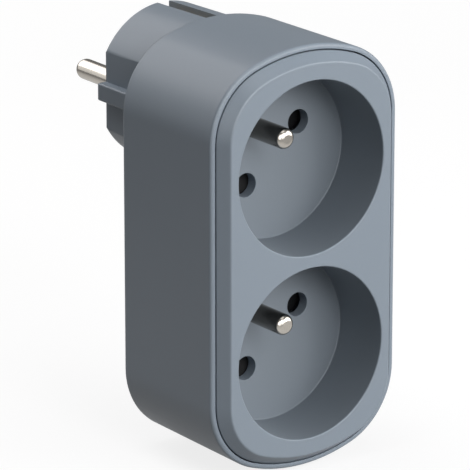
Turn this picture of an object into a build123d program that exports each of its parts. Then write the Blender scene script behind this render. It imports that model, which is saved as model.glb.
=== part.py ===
from build123d import *
import os
from math import asin, atan2, cos, degrees, radians, sin, sqrt, tan

# Double socket adapter: a round plug on the back goes into a wall socket, and two earthed
# sockets, one above the other, face the room.
# Millimetres. X runs to the right seen from the front, Y towards the wall, Z up.
# The origin lies midway between the two plug pins, on the face of the plug.
# A "depth" is measured from the flat front of the cover towards the wall.

# Body: a crowned rectangle, whose short ends are gentle arcs
body_width = 51.4
body_height = 97.8
body_depth = 36.2
corner_radius = 17.7
crown_radius = 42.0
body_draft = 0.5                 # degrees, the body narrows towards the wall
side_wall = 2.2
back_wall = 2.0
rim_wall = 1.25                  # the thin lip around the cover
rim_rounding = 1.0
back_rounding = 0.8
ledge_width = 0.9                # the cover's skirt lands on this step inside the lip

# Front cover
seam_gap = 0.3
bevel_width = 2.0
bevel_depth = 2.7
bevel_rounding = 0.6
cover_thickness = 2.2
skirt_wall = 1.6
skirt_depth = 3.6

# Sockets
socket_pitch = 43.0
recess_diameter = 40.0
recess_depth = 14.6
recess_draft = 1.7               # degrees
recess_wall = 1.6
mouth_rounding = 0.3
floor_thickness = 2.7
hole_diameter = 5.6
hole_turn = 40.0                 # degrees, the right-hand hole stands above the left-hand one

# Pins, the same in the plug and in the sockets it is made for
pin_diameter = 4.8
pin_pitch = 19.0
earth_offset = 10.0
plug_pin_length = 19.0
pin_tip_rounding = 2.1
earth_pin_length = 14.1
earth_tip_rounding = 1.5
pin_seat_clearance = 0.05
pin_groove_diameter = 4.4        # a shallow groove just below the face that the pin stands out of
pin_groove_width = 0.8

# Plug
plug_top_drop = 19.5             # plug axis below the top of the body
plug_length = 19.7
plug_diameter = 36.6
plug_draft = 1.2                 # degrees, the plug widens towards the body
plug_flat_width = 32.1
plug_edge_rounding = 0.4
guide_rib_width = 4.1
groove_width = 3.2
groove_depth = 3.35
plug_wall = 2.0
groove_floor_wall = 1.5
plug_face_wall = 3.0
pin_boss_diameter = 9.4
pin_boss_length = 15.9
plug_earth_hole_diameter = 5.5
earth_boss_diameter = 9.4

# Shutters: a two-bladed disc behind each socket floor, turned aside by a pair of pins
shutter_travel = 38.0            # degrees
shutter_gap = 0.3
shutter_thickness = 2.7
shutter_chamber_radius = 13.4
shutter_hub_diameter = 8.4
shutter_pad_diameter = 6.8
shutter_arm_width = 4.2
shutter_ramp_drop = 1.4
pivot_diameter = 3.0
pivot_clearance = 0.08
stop_rib_width = 1.6
stop_rib_length = 2.4
stop_clearance = 0.3

# Shutter plate: the moulded cup that traps the shutter against the socket floor
plate_thickness = 2.8
plate_diameter = 34.8
plate_ring_wall = 1.2
plate_hole_diameter = 6.2
peg_diameter = 2.2
peg_circle_radius = 15.9
peg_clearance = 0.05

# Shutter spring: a torsion spring around the pivot
spring_wire = 0.4
spring_radius = 2.5
spring_turns = 2.5
spring_pitch = 0.45
spring_pocket_clearance = 0.35
spring_leg_length = 2.8
spring_hole_diameter = 0.7
spring_arm_reach = 1.2           # how far the arm goes up into the shutter
spring_hole_clearance = 0.2

# Contacts
strip_thickness = 0.8
sleeve_bore_diameter = 4.7
sleeve_wall = 0.8
sleeve_gap = 0.2                 # front end of a sleeve behind the shutter plate
sleeve_back_gap = 0.8            # back end of a sleeve in front of the housing's wall
sleeve_ring_length = 3.0
sleeve_slit_width = 1.0
sleeve_mouth_chamfer = 0.45
sleeve_seat_clearance = 0.02
power_bar_width = 4.0
power_bar_offset = 11.6
power_arm_width = 5.0
power_eye_wall = 1.3
power_tab_width = 5.0
earth_bar_width = 4.0
earth_arm_width = 5.0
strap_width = 3.0
strap_groove_clearance = 0.05
strap_tip_setback = 1.2
bend_rounding = 0.7

# Riveted ends of the pins
tail_diameter = 3.0
tail_clearance = 0.05
rivet_head_diameter = 4.4
rivet_head_height = 0.6
pin_collar_diameter = 7.0
pin_collar_height = 1.0
earth_collar_diameter = 6.4
rivet_diameter = 2.0

# Plug earth sleeve
plug_sleeve_length = 13.6
plug_sleeve_base = 1.6
plug_sleeve_clearance = 0.15
plug_sleeve_stem_diameter = 2.4

# Screws, driven from the back
screw_diameter = 2.9
screw_length = 14.0
screw_head_diameter = 5.6
screw_head_height = 2.0
screw_recess_width = 0.8
screw_recess_length = 3.2
screw_recess_depth = 1.1
screw_hole_clearance = 0.2
screw_head_clearance = 0.4
screw_grip = 2.0                 # housing wall under the head
thread_clearance = 0.04
screw_boss_diameter = 6.0
screw_boss_depth = 24.8
screw_seat_gap = 0.2
screw_tower_wall = 1.1
screw_side_offset = 19.2
screw_bottom_offset = 15.8
screw_bottom_margin = 9.9        # bottom screws above the body's lower end

# Snap hooks at the top of the cover
hook_spacing = 20.0
hook_width = 6.0
hook_wall = 1.4
hook_gap = 0.3                   # tongue to housing wall
hook_depth = 12.0
hook_catch = 0.7
hook_catch_length = 1.6
hook_pocket_clearance = 0.3

# Posts and ribs inside the housing
post_width = 3.0
power_post_drops = (18.0, 36.0)  # below the plug axis
earth_post_drops = (24.0, 38.0)

# Derived sizes and places
plug_rise = body_height / 2 - plug_top_drop
front_y = -(plug_length + body_depth)
body_z = -plug_rise
upper_z = body_z + socket_pitch / 2
lower_z = body_z - socket_pitch / 2
socket_heights = {"upper": upper_z, "lower": lower_z}
ledge_depth = bevel_depth + skirt_depth
back_depth = body_depth - back_wall
floor_back_depth = recess_depth + floor_thickness
chamber_depth = 2 * shutter_gap + shutter_thickness
plate_front_depth = floor_back_depth + chamber_depth
plate_back_depth = plate_front_depth + plate_thickness
sleeve_front_depth = plate_back_depth + sleeve_gap
sleeve_back_depth = back_depth - sleeve_back_gap
power_bar_depth = sleeve_back_depth - sleeve_ring_length
earth_bar_depth = plate_back_depth + strip_thickness
strap_back_depth = back_depth
boss_end_depth = body_depth + plug_length - plug_face_wall - pin_boss_length
tab_back_depth = boss_end_depth - pin_collar_height
screw_seat_depth = screw_boss_depth + screw_seat_gap + screw_grip
sleeve_outer_diameter = sleeve_bore_diameter + 2 * sleeve_wall
strap_inner_half = plug_diameter / 2 - groove_depth + strap_groove_clearance
strap_outer_half = strap_inner_half + strip_thickness
spring_pocket_radius = spring_radius + spring_wire / 2 + spring_pocket_clearance
spring_height = spring_turns * spring_pitch + spring_wire
spring_pocket_depth = spring_height + spring_pocket_clearance
spring_end_turn = hole_turn + 90 + 360 * spring_turns


def facing(depth):
    """The plane at a depth behind the front face, looking out at the room: local x, y are X, Z."""
    return Plane.XZ.offset(-(front_y + depth))


def slab(sketch, near, far, taper=0.0):
    """A sketch made solid from depth near to depth far; a positive taper narrows it to the front."""
    return extrude(facing(far) * sketch, amount=far - near, taper=taper)


def on_circle(radius, angle, z):
    """A point on a circle about a socket's axis at height z."""
    return (radius * cos(radians(angle)), z + radius * sin(radians(angle)))


def line_hole(side, z):
    """Centre of a socket's hole; side is 1 for the upper right one and -1 for the lower left one."""
    return on_circle(side * pin_pitch / 2, hole_turn, z)


def earth_place(z):
    """Centre of a socket's earth pin."""
    return on_circle(earth_offset, hole_turn + 90, z)


def crowned_outline(width, height, corner, crown):
    """A rectangle with rounded corners whose top and bottom are arcs of the crown radius."""
    corner_x = width / 2 - corner
    crown_z = height / 2 - crown
    corner_z = crown_z + sqrt((crown - corner) ** 2 - corner_x**2)
    turn = atan2(corner_z - crown_z, corner_x)
    side = Vector(width / 2, corner_z)
    knee = Vector(corner_x + corner * cos(turn / 2), corner_z + corner * sin(turn / 2))
    shoulder = Vector(corner_x + corner * cos(turn), corner_z + corner * sin(turn))
    right = ThreePointArc(side, knee, shoulder)
    left = mirror(right, Plane.YZ)
    top = ThreePointArc(shoulder, Vector(0, height / 2), Vector(-shoulder.X, shoulder.Y))
    upper = Curve() + [right, top, left]
    sides = [Line((x, corner_z), (x, -corner_z)) for x in (side.X, -side.X)]
    return make_face(upper + mirror(upper, Plane.XZ) + sides)


def body_outline(inset):
    """The body's outline at the lip, moved inwards all round by inset."""
    outline = crowned_outline(
        body_width - 2 * inset, body_height - 2 * inset, corner_radius - inset, crown_radius - inset
    )
    return Pos(0, body_z) * outline


def drafted_body(inset, near, far):
    """The body's drafted form between two depths, moved inwards by inset."""
    loss = (far - bevel_depth) * tan(radians(body_draft))
    return slab(body_outline(inset + loss), near, far, taper=-body_draft)


def outline_ring(outer, inner, near, far):
    """A band that follows the body's outline between two insets."""
    return slab(body_outline(outer) - body_outline(inner), near, far)


def hook_windows(width, near, far):
    """Two blocks over the top of the body that pick the hooks out of a band."""
    block = Rectangle(width, body_height / 2)
    top = body_z + body_height / 2
    return slab(Sketch() + [Pos(x, top) * block for x in (-hook_spacing / 2, hook_spacing / 2)], near, far)


def screw_places():
    """Centres of the four screws: two beside the middle and two near the bottom."""
    middle = [(x, body_z) for x in (-screw_side_offset, screw_side_offset)]
    bottom_z = body_z - body_height / 2 + screw_bottom_margin
    return middle + [(x, bottom_z) for x in (-screw_bottom_offset, screw_bottom_offset)]


def discs(places, diameter):
    """A circle of one diameter at each place."""
    return Sketch() + [Pos(*place) * Circle(diameter / 2) for place in places]


def plug_body():
    """The round plug with its two flats, the guide rib on each flat and the two earth grooves."""
    root = body_depth
    face = body_depth + plug_length
    cone = extrude(facing(face) * Circle(plug_diameter / 2), amount=face - root, taper=-plug_draft)
    cone = fillet(cone.faces().sort_by(Axis.Y)[-1].edges(), plug_edge_rounding)
    flats = slab(Rectangle(plug_flat_width, 1.2 * plug_diameter), root, face)
    flats = fillet(flats.faces().sort_by(Axis.Y)[-1].edges().filter_by(Axis.Z), plug_edge_rounding)
    ribs = slab(Rectangle(plug_diameter, guide_rib_width), root, face)
    plug = cone & (flats + ribs)
    groove = Rectangle(groove_width, 2 * groove_depth)
    grooves = [Pos(0, side * plug_diameter / 2) * groove for side in (-1, 1)]
    return plug - slab(Sketch() + grooves, root, face)


def plug_hollow():
    """The space inside the plug, open to the body."""
    rounded = Circle(plug_diameter / 2 - plug_wall) & Rectangle(plug_flat_width - 2 * plug_wall, plug_diameter)
    floor_half = plug_diameter / 2 - groove_depth - groove_floor_wall
    keep = Rectangle(groove_width + 2 * groove_floor_wall, plug_diameter)
    keep -= Rectangle(groove_width + 2 * groove_floor_wall, 2 * floor_half)
    return slab(rounded - keep, back_depth, body_depth + plug_length - plug_face_wall)


def rear_housing():
    """The deep tub with the plug moulded on its back."""
    tub = drafted_body(0, bevel_depth, body_depth)
    ends = tub.faces().sort_by(Axis.Y)
    tub = fillet(ends[0].edges(), rim_rounding)
    tub = fillet(tub.faces().sort_by(Axis.Y)[-1].edges(), back_rounding)
    tub -= slab(body_outline(rim_wall), bevel_depth, ledge_depth)
    tub -= drafted_body(rim_wall + ledge_width, ledge_depth, back_depth)
    housing = tub + plug_body() - plug_hollow()

    face_depth = body_depth + plug_length
    pins = [(-pin_pitch / 2, 0), (pin_pitch / 2, 0)]
    earth = [(0, earth_offset)]
    inner_face = face_depth - plug_face_wall
    housing += slab(discs(pins, pin_boss_diameter), boss_end_depth, inner_face)
    housing += slab(discs(earth, earth_boss_diameter), boss_end_depth, inner_face) & plug_body()
    pin_bore = pin_diameter + 2 * pin_seat_clearance
    housing -= slab(discs(pins, pin_bore), boss_end_depth, face_depth)
    sleeve_bore = sleeve_outer_diameter + 2 * plug_sleeve_clearance
    housing -= slab(discs(earth, sleeve_bore), boss_end_depth, inner_face)
    housing -= slab(discs(earth, plug_earth_hole_diameter), inner_face, face_depth)

    strap_middle = (strap_inner_half + strap_outer_half) / 2
    window = Rectangle(groove_width, strip_thickness + 4 * strap_groove_clearance)
    windows = Sketch() + [Pos(0, z) * window for z in (strap_middle, -strap_middle)]
    housing -= slab(windows, back_depth, body_depth)

    towers = discs(screw_places(), screw_head_diameter + 2 * (screw_head_clearance + screw_tower_wall))
    inside = drafted_body(rim_wall + ledge_width, ledge_depth, back_depth)
    housing += slab(towers, screw_boss_depth + screw_seat_gap, back_depth) & inside
    head_bore = discs(screw_places(), screw_head_diameter + 2 * screw_head_clearance)
    housing -= slab(head_bore, screw_seat_depth, body_depth)
    shank_bore = discs(screw_places(), screw_diameter + 2 * screw_hole_clearance)
    housing -= slab(shank_bore, screw_boss_depth + screw_seat_gap, screw_seat_depth)

    post = Rectangle(post_width, post_width)
    power_posts = [
        Pos(side * power_bar_offset, -drop) * post for side in (-1, 1) for drop in power_post_drops
    ]
    housing += slab(Sketch() + power_posts, power_bar_depth + strip_thickness, back_depth)
    earth_posts = [Pos(0, -drop) * post for drop in earth_post_drops]
    housing += slab(Sketch() + earth_posts, earth_bar_depth + strip_thickness, back_depth)

    pocket_far = hook_depth + hook_pocket_clearance
    pocket_near = hook_depth - hook_catch_length - hook_pocket_clearance
    wall_inset = rim_wall + ledge_width
    pocket = outline_ring(wall_inset - hook_catch, wall_inset + 1, pocket_near, pocket_far)
    housing -= pocket & hook_windows(hook_width + 2 * hook_pocket_clearance, pocket_near, pocket_far)
    return housing


def front_cover():
    """The front: bevelled plate, two socket wells with their floors, screw bosses and hooks."""
    edge = rim_wall + seam_gap
    bevel_angle = degrees(atan2(bevel_width, bevel_depth))
    plate = slab(body_outline(edge), 0, bevel_depth, taper=bevel_angle)
    plate = fillet(plate.faces().sort_by(Axis.Y)[0].edges(), bevel_rounding)
    plate += slab(body_outline(edge), bevel_depth, ledge_depth)
    cover = plate - slab(body_outline(edge + skirt_wall), cover_thickness, ledge_depth)

    centres = [(0, z) for z in socket_heights.values()]
    slope = tan(radians(recess_draft))
    floor_diameter = recess_diameter - 2 * recess_depth * slope
    back_diameter = recess_diameter + 2 * recess_wall - 2 * floor_back_depth * slope
    wells = slab(discs(centres, back_diameter), cover_thickness / 2, floor_back_depth, taper=-recess_draft)
    bosses = slab(discs(screw_places(), screw_boss_diameter), cover_thickness / 2, screw_boss_depth)
    inside = slab(body_outline(rim_wall + ledge_width + hook_gap), 0, screw_boss_depth)
    cover += (wells + bosses) & inside

    room = Pos(0, body_z) * Rectangle(2 * body_width, 2 * body_height)
    recessed = slab(room, 0, screw_boss_depth)
    recessed -= slab(discs(centres, floor_diameter), 0, recess_depth, taper=-recess_draft)
    mouths = recessed.faces().sort_by(Axis.Y)[0].inner_wires()
    recessed = fillet([edge for wire in mouths for edge in wire.edges()], mouth_rounding)
    cover &= recessed

    holes = [line_hole(side, z) for side in (-1, 1) for z in socket_heights.values()]
    cover -= slab(discs(holes, hole_diameter), recess_depth, floor_back_depth)
    earths = [earth_place(z) for z in socket_heights.values()]
    cover -= slab(discs(earths, pin_diameter + 2 * pin_seat_clearance), recess_depth, floor_back_depth)

    pegs = [place for z in socket_heights.values() for place in peg_places(z)]
    cover += slab(discs(pegs, peg_diameter), floor_back_depth, plate_back_depth)

    pilot = screw_diameter + 2 * thread_clearance
    screw_tip_depth = screw_seat_depth - screw_length - 1
    cover -= slab(discs(screw_places(), pilot), screw_tip_depth, screw_boss_depth)

    tongue_inset = rim_wall + ledge_width + hook_gap
    tongue = outline_ring(tongue_inset, tongue_inset + hook_wall, cover_thickness, hook_depth)
    catch = outline_ring(
        tongue_inset - hook_catch, tongue_inset + hook_wall, hook_depth - hook_catch_length, hook_depth
    )
    hooks = (tongue + catch) & hook_windows(hook_width, 0, hook_depth)
    return cover + (hooks & recessed)


def peg_places(z):
    """Centres of the two pegs that hold a shutter plate to its socket floor."""
    return [on_circle(side * peg_circle_radius, hole_turn + 90, z) for side in (-1, 1)]


def stop_angle():
    """Angle from a shutter pad's middle to the rib that stops it."""
    pad = pin_pitch / 2
    rib = shutter_chamber_radius - stop_rib_length
    apart = (shutter_pad_diameter + stop_rib_width) / 2 + stop_clearance
    return degrees(2 * asin(sqrt((apart**2 - (rib - pad) ** 2) / (pad * rib)) / 2))


def shutter_plate(z):
    """The cup behind a socket floor: base, ring wall, stop ribs, pivot and spring pocket."""
    centre = [(0, z)]
    plate = slab(discs(centre, plate_diameter), plate_front_depth, plate_back_depth)
    ring = discs(centre, 2 * (shutter_chamber_radius + plate_ring_wall)) - discs(centre, 2 * shutter_chamber_radius)
    rib_middle = shutter_chamber_radius - stop_rib_length / 2 + plate_ring_wall / 2
    rib = Pos(rib_middle, 0) * Rectangle(stop_rib_length + plate_ring_wall, stop_rib_width)
    turns = [base + side for base in (hole_turn, hole_turn + 180)
             for side in (-stop_angle(), shutter_travel + stop_angle())]
    ring += Sketch() + [Pos(0, z) * Rot(0, 0, turn) * rib for turn in turns]
    plate += slab(ring, floor_back_depth, plate_front_depth)

    pocket = discs(centre, 2 * spring_pocket_radius)
    slot_length = spring_radius + spring_leg_length + spring_pocket_clearance
    slot = Pos(slot_length / 2, 0) * Rectangle(slot_length, 2 * spring_wire)
    pocket += Pos(0, z) * Rot(0, 0, hole_turn + 90) * slot
    plate -= slab(pocket, plate_front_depth, plate_front_depth + spring_pocket_depth)
    plate += slab(discs(centre, pivot_diameter), floor_back_depth + pivot_clearance, plate_back_depth)

    line_holes = [line_hole(side, z) for side in (-1, 1)]
    plate -= slab(discs(line_holes, plate_hole_diameter), plate_front_depth, plate_back_depth)
    earth_bore = discs([earth_place(z)], pin_diameter + 2 * pin_seat_clearance)
    plate -= slab(earth_bore, plate_front_depth, plate_back_depth)
    peg_bore = discs(peg_places(z), peg_diameter + 2 * peg_clearance)
    return plate - slab(peg_bore, plate_front_depth, plate_back_depth)


def shutter(z):
    """A hub with two ramped pads that close the line holes."""
    near = floor_back_depth + shutter_gap
    far = near + shutter_thickness
    pads = [line_hole(side, z) for side in (-1, 1)]
    arm = Pos(0, z) * Rot(0, 0, hole_turn) * Rectangle(pin_pitch, shutter_arm_width)
    sketch = discs(pads, shutter_pad_diameter) + arm + discs([(0, z)], shutter_hub_diameter)
    disc = slab(sketch, near, far)
    ramp_slope = degrees(atan2(shutter_ramp_drop, shutter_pad_diameter))
    wedge = Box(2 * shutter_pad_diameter, 2 * shutter_pad_diameter, 2 * shutter_thickness)
    wedge = Pos(0, 0, shutter_thickness) * wedge
    for side in (-1, 1):
        x, height = line_hole(side, z)
        seat = facing(near + shutter_ramp_drop / 2) * Pos(x, height) * Rot(0, 0, hole_turn + 90 * (1 - side))
        disc -= seat * Rot(ramp_slope, 0, 0) * Pos(shutter_pad_diameter * 0.55, 0, 0) * wedge
    disc += slab(discs([(0, z)], shutter_hub_diameter), near, far)
    disc -= slab(discs([(0, z)], pivot_diameter + 2 * pivot_clearance), near, far)
    arm_hole = discs([on_circle(spring_radius, spring_end_turn, z)], spring_hole_diameter)
    return disc - slab(arm_hole, far - spring_arm_reach - spring_hole_clearance, far)


def shutter_spring(z):
    """A torsion coil around the pivot, one leg in the plate's slot and one up into the hub."""
    coil_height = spring_turns * spring_pitch
    coil = Helix(pitch=spring_pitch, height=coil_height, radius=spring_radius)
    start = coil @ 0
    section = Plane(origin=start, z_dir=coil % 0) * Circle(spring_wire / 2)
    wire = sweep(section, path=coil)
    leg = Plane(origin=start, z_dir=(1, 0, 0)) * Circle(spring_wire / 2)
    wire += extrude(leg, amount=spring_leg_length)
    end = coil @ 1
    bottom_depth = plate_front_depth + spring_pocket_depth - spring_wire / 2
    arm_tip_depth = floor_back_depth + shutter_gap + shutter_thickness - spring_arm_reach
    wire += Pos(*end) * Sphere(spring_wire / 2)
    arm = Plane(origin=end, z_dir=(0, 0, 1)) * Circle(spring_wire / 2)
    wire += extrude(arm, amount=bottom_depth - coil_height - arm_tip_depth)
    return facing(bottom_depth) * Pos(0, z) * Rot(0, 0, hole_turn + 90) * wire


def contact_sleeve(x, z):
    """A slit brass tube that grips an inserted pin, whole at its back end."""
    tube = slab(discs([(x, z)], sleeve_outer_diameter), sleeve_front_depth, sleeve_back_depth)
    tube -= slab(discs([(x, z)], sleeve_bore_diameter), sleeve_front_depth, sleeve_back_depth)
    mouth = tube.faces().sort_by(Axis.Y)[0].inner_wires()[0].edges()
    tube = chamfer(mouth, sleeve_mouth_chamfer)
    slit = Pos(x, z) * Rectangle(sleeve_slit_width, 2 * sleeve_outer_diameter)
    return tube - slab(slit, sleeve_front_depth, power_bar_depth - strip_thickness)


def power_bar(side):
    """Brass strip that joins one plug pin to one hole of each socket; side is 1 on the right."""
    near = power_bar_depth
    far = near + strip_thickness
    eyes = [line_hole(side, z) for z in socket_heights.values()]
    bar_x = side * power_bar_offset
    top = power_tab_width / 2
    bottom = min(z for _, z in eyes) - power_arm_width / 2
    outline = Pos(bar_x, (top + bottom) / 2) * Rectangle(power_bar_width, top - bottom)
    for x, z in eyes:
        outline += Pos((x + bar_x) / 2, z) * Rectangle(abs(bar_x - x), power_arm_width)
    eye_bore = sleeve_outer_diameter + 2 * sleeve_seat_clearance
    outline += discs(eyes, eye_bore + 2 * power_eye_wall)
    bar = slab(outline - discs(eyes, eye_bore), near, far)

    riser_x = side * (power_bar_offset + power_bar_width / 2 - strip_thickness / 2)
    riser = Pos(riser_x, 0) * Rectangle(strip_thickness, power_tab_width)
    bar += slab(riser, near, tab_back_depth)
    pin_x = side * pin_pitch / 2
    tab_end = pin_x - side * power_tab_width / 2
    tab = Pos((riser_x + side * strip_thickness / 2 + tab_end) / 2, 0) * Rectangle(
        abs(riser_x - tab_end) + strip_thickness / 2, power_tab_width
    )
    tab -= discs([(pin_x, 0)], tail_diameter + 2 * tail_clearance)
    return bar + slab(tab, tab_back_depth - strip_thickness, tab_back_depth)


def earth_bar():
    """Brass strip down the middle that joins both earth pins to the strap of the plug."""
    near = earth_bar_depth
    far = near + strip_thickness
    pins = [earth_place(z) for z in socket_heights.values()]
    riser_z = earth_foot_place()[1] + power_tab_width / 2
    bottom = min(z for _, z in pins) - earth_arm_width / 2
    outline = Pos(0, (riser_z + bottom) / 2) * Rectangle(earth_bar_width, riser_z - bottom)
    for x, z in pins:
        outline += Pos(x / 2, z) * Rectangle(abs(x), earth_arm_width)
    outline += discs(pins, earth_arm_width)
    outline -= discs(pins, tail_diameter + 2 * tail_clearance)
    bar = slab(outline, near, far)
    foot_back = strap_back_depth - strip_thickness
    riser = Pos(0, riser_z - strip_thickness / 2) * Rectangle(strap_width, strip_thickness)
    bar += slab(riser, near, foot_back)
    foot = Pos(*earth_foot_place()) * Rectangle(strap_width, power_tab_width)
    foot -= discs([earth_foot_place()], rivet_diameter + 2 * tail_clearance)
    return bar + slab(foot, foot_back - strip_thickness, foot_back)


def earth_foot_place():
    """Centre of the rivet that joins the earth bar to the plug's strap."""
    return (0, earth_offset / 3)


def plug_earth_strap():
    """U-shaped strip whose two legs lie in the plug's grooves as its side contacts."""
    base_near = strap_back_depth - strip_thickness
    base = Rectangle(strap_width, 2 * strap_outer_half)
    base -= discs([earth_foot_place()], rivet_diameter + 2 * tail_clearance)
    base -= discs([(0, earth_offset)], plug_sleeve_stem_diameter + 2 * tail_clearance)
    strap = slab(base, base_near, strap_back_depth)
    leg_middle = (strap_inner_half + strap_outer_half) / 2
    leg = Rectangle(strap_width, strip_thickness)
    legs = Sketch() + [Pos(0, z) * leg for z in (leg_middle, -leg_middle)]
    strap += slab(legs, base_near, body_depth + plug_length - strap_tip_setback)
    outer = strap.faces().sort_by(Axis.Y)[0].edges().filter_by(Axis.X)
    return fillet(outer, bend_rounding)


def plug_earth_sleeve():
    """The plug's female earth contact, riveted through the strap."""
    centre = [(0, earth_offset)]
    front = body_depth + plug_length - plug_face_wall - plug_sleeve_clearance
    base = front - plug_sleeve_length
    sleeve = slab(discs(centre, sleeve_outer_diameter), base, front)
    sleeve -= slab(discs(centre, sleeve_bore_diameter), base + plug_sleeve_base, front)
    slit = Pos(*centre[0]) * Rectangle(sleeve_slit_width, 2 * sleeve_outer_diameter)
    sleeve -= slab(slit, base + 2 * plug_sleeve_base, front)
    strap_near = strap_back_depth - strip_thickness
    neck = pin_collar_height + sleeve_wall
    sleeve += slab(discs(centre, rivet_head_diameter), strap_back_depth, base + neck / 2)
    sleeve += slab(discs(centre, plug_sleeve_stem_diameter), strap_near, strap_back_depth)
    return sleeve + slab(discs(centre, rivet_head_diameter), strap_near - rivet_head_height, strap_near)


def pin_groove(places, near, far):
    """The ring cut from a pin between two depths."""
    return slab(discs(places, pin_collar_diameter) - discs(places, pin_groove_diameter), near, far)


def plug_pin(x):
    """A plug pin: round tip, shank through the plug's face, collar and riveted tail."""
    tip = body_depth + plug_length + plug_pin_length
    shank = slab(discs([(x, 0)], pin_diameter), boss_end_depth, tip)
    shank = fillet(shank.faces().sort_by(Axis.Y)[-1].edges(), pin_tip_rounding)
    face = body_depth + plug_length
    shank -= pin_groove([(x, 0)], face - pin_groove_width, face)
    pin = shank + slab(discs([(x, 0)], pin_collar_diameter), tab_back_depth, boss_end_depth)
    tab_front = tab_back_depth - strip_thickness
    pin += slab(discs([(x, 0)], tail_diameter), tab_front, tab_back_depth)
    return pin + slab(discs([(x, 0)], rivet_head_diameter), tab_front - rivet_head_height, tab_front)


def earth_pin(z):
    """A socket's earth pin: round tip, shank through floor and plate, collar and riveted tail."""
    place = [earth_place(z)]
    shank = slab(discs(place, pin_diameter), recess_depth - earth_pin_length, plate_back_depth)
    shank = fillet(shank.faces().sort_by(Axis.Y)[0].edges(), earth_tip_rounding)
    shank -= pin_groove(place, recess_depth, recess_depth + pin_groove_width)
    pin = shank + slab(discs(place, earth_collar_diameter), plate_back_depth, earth_bar_depth)
    bar_back = earth_bar_depth + strip_thickness
    pin += slab(discs(place, tail_diameter), earth_bar_depth, bar_back)
    return pin + slab(discs(place, rivet_head_diameter), bar_back, bar_back + rivet_head_height)


def earth_rivet():
    """The rivet through the earth bar's foot and the strap."""
    place = [earth_foot_place()]
    foot_front = strap_back_depth - 2 * strip_thickness
    rivet = slab(discs(place, rivet_diameter), foot_front, strap_back_depth)
    head = discs(place, 1.6 * rivet_diameter)
    rivet += slab(head, foot_front - rivet_head_height, foot_front)
    return rivet + slab(head, strap_back_depth, strap_back_depth + rivet_head_height)


def housing_screws():
    """The four screws, as separate solids: pan head with a cross recess, plain shank."""
    screws = []
    cross = Rectangle(screw_recess_length, screw_recess_width) + Rectangle(screw_recess_width, screw_recess_length)
    for place in screw_places():
        head_top = screw_seat_depth + screw_head_height
        screw = slab(discs([place], screw_head_diameter), screw_seat_depth, head_top)
        screw = fillet(screw.faces().sort_by(Axis.Y)[-1].edges(), screw_head_height / 2)
        screw += slab(discs([place], screw_diameter), screw_seat_depth - screw_length, screw_seat_depth)
        screw -= slab(Pos(*place) * cross, head_top - screw_recess_depth, head_top)
        screws.append(screw)
    return Compound(children=screws)


def nodes():
    """Every sub-part by name."""
    parts = {
        "rear_housing": rear_housing(),
        "front_cover": front_cover(),
        "live_bar": power_bar(1),
        "neutral_bar": power_bar(-1),
        "earth_bar": earth_bar(),
        "earth_rivet": earth_rivet(),
        "plug_earth_strap": plug_earth_strap(),
        "plug_earth_sleeve": plug_earth_sleeve(),
        "plug_pin_left": plug_pin(-pin_pitch / 2),
        "plug_pin_right": plug_pin(pin_pitch / 2),
        "housing_screws": housing_screws(),
    }
    for level, z in socket_heights.items():
        parts[f"shutter_plate_{level}"] = shutter_plate(z)
        parts[f"shutter_{level}"] = shutter(z)
        parts[f"shutter_spring_{level}"] = shutter_spring(z)
        parts[f"earth_pin_{level}"] = earth_pin(z)
        parts[f"live_sleeve_{level}"] = contact_sleeve(*line_hole(1, z))
        parts[f"neutral_sleeve_{level}"] = contact_sleeve(*line_hole(-1, z))
    return parts


os.makedirs("parts", exist_ok=True)
for name, solid in nodes().items():
    export_step(solid, f"parts/{name}.step")
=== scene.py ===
import logging
import math
from dataclasses import dataclass
from enum import Enum
from typing import Any

import bmesh
import bpy
from mathutils import Matrix, Vector


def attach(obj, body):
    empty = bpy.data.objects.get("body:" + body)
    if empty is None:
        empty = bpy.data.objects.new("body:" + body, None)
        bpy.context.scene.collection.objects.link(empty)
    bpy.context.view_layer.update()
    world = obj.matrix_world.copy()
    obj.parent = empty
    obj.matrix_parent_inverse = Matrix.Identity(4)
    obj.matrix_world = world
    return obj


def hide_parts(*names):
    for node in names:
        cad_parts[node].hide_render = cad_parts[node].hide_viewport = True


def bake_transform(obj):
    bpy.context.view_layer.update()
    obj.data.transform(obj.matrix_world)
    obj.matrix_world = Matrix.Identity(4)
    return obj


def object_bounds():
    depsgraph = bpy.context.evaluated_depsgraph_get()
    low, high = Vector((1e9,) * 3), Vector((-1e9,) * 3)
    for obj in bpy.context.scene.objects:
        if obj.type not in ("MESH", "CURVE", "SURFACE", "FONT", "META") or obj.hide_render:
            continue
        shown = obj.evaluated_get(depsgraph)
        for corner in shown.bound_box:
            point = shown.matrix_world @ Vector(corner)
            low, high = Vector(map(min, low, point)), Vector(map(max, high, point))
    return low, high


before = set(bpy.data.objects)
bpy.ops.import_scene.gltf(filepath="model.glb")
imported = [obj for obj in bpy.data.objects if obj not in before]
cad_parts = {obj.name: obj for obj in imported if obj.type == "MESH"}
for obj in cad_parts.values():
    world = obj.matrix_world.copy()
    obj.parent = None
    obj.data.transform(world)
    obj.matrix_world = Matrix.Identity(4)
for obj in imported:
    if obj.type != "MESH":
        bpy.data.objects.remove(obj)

# Sizes are in millimetres until a finished mesh is scaled to metres. A depth is measured from the
# flat front of the cover towards the wall; X runs to the right and Z up, seen from the front.

MM = 0.001
PLUG_FACE = 55.9
FRONT_Y = -PLUG_FACE
BODY_Z = -29.4
LEVELS = {"upper": -7.9, "lower": -50.9}
SOCKETS = tuple(LEVELS.values())
CAD_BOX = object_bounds()

# The screws stand in two rows: the height of each, and how far its screws are from the middle.
SCREW_ROWS = {BODY_Z: 19.2, BODY_Z - 39.0: 15.8}
SCREWS = [(side * reach, z) for z, reach in SCREW_ROWS.items() for side in (-1, 1)]

# A solid that cuts another one or joins it runs this far past its face.
PAST = 1.0
# The rounded mouth of a solid that cuts starts this far before the cut face, so that no two faces
# lie in one plane.
HAIR = 0.004

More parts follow.
